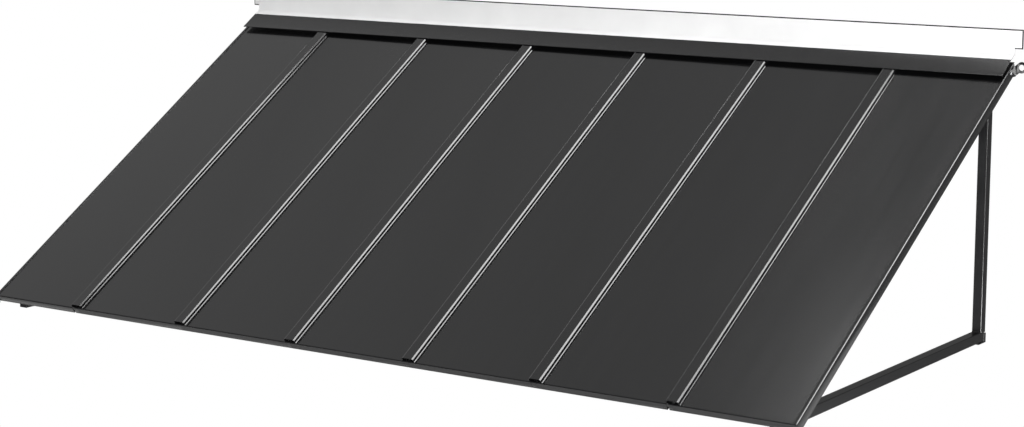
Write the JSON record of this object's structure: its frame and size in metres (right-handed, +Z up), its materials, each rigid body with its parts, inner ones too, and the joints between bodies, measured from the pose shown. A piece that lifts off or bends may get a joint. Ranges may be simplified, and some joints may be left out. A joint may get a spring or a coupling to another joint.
{
  "type": "standing seam metal awning",
  "caption": "Fixed metal awning with a standing seam roof of flat black pans, folded trims and a welded square tube end frame at each gable, with its wall flashing",
  "frame": {"origin": "middle of the head rail's back face: on the wall plane, half way along the awning, 25.4 mm tube centred on it in height", "axes": "+X runs along the wall, the awning's longest way; +Y points into the wall, so the awning reaches out towards -Y; +Z is up"},
  "size_m": [2.4948, 1.1123, 0.7896],
  "materials": {
    "roof_sheet": "satin powder coat",
    "frame_coat": "satin powder coat",
    "white_sheet": "white coil coat",
    "black_plastic": "moulded, matte",
    "seal_rubber": "matte",
    "zinc": "zinc plated"
  },
  "bodies": {
    "root": {"pan_1": "roof_sheet", "pan_2": "roof_sheet", "pan_3": "roof_sheet", "pan_4": "roof_sheet", "pan_5": "roof_sheet", "pan_6": "roof_sheet", "pan_7": "roof_sheet", "seam_cap_1": "roof_sheet", "seam_cap_2": "roof_sheet", "seam_cap_3": "roof_sheet", "seam_cap_4": "roof_sheet", "seam_cap_5": "roof_sheet", "seam_cap_6": "roof_sheet", "rake_trim_left": "roof_sheet", "rake_trim_right": "roof_sheet", "head_flashing": "roof_sheet", "rafter_left": "frame_coat", "rafter_right": "frame_coat", "post_left": "frame_coat", "post_right": "frame_coat", "arm_left": "frame_coat", "arm_right": "frame_coat", "front_rail": "frame_coat", "purlin_lower": "frame_coat", "purlin_upper": "frame_coat", "head_rail": "frame_coat", "wall_ear_left": "frame_coat", "wall_ear_right": "frame_coat", "wall_flange": "white_sheet", "arm_plug_left": "black_plastic", "arm_plug_right": "black_plastic", "wall_foot_left": "black_plastic", "wall_foot_right": "black_plastic", "wall_seal": "seal_rubber", "seam_clip_1_lower": "zinc", "seam_clip_2_lower": "zinc", "seam_clip_3_lower": "zinc", "seam_clip_4_lower": "zinc", "seam_clip_5_lower": "zinc", "seam_clip_6_lower": "zinc", "seam_clip_1_upper": "zinc", "seam_clip_2_upper": "zinc", "seam_clip_3_upper": "zinc", "seam_clip_4_upper": "zinc", "seam_clip_5_upper": "zinc", "seam_clip_6_upper": "zinc", "trim_screw_left": "zinc", "trim_screw_right": "zinc"}
  },
  "joints": []
}
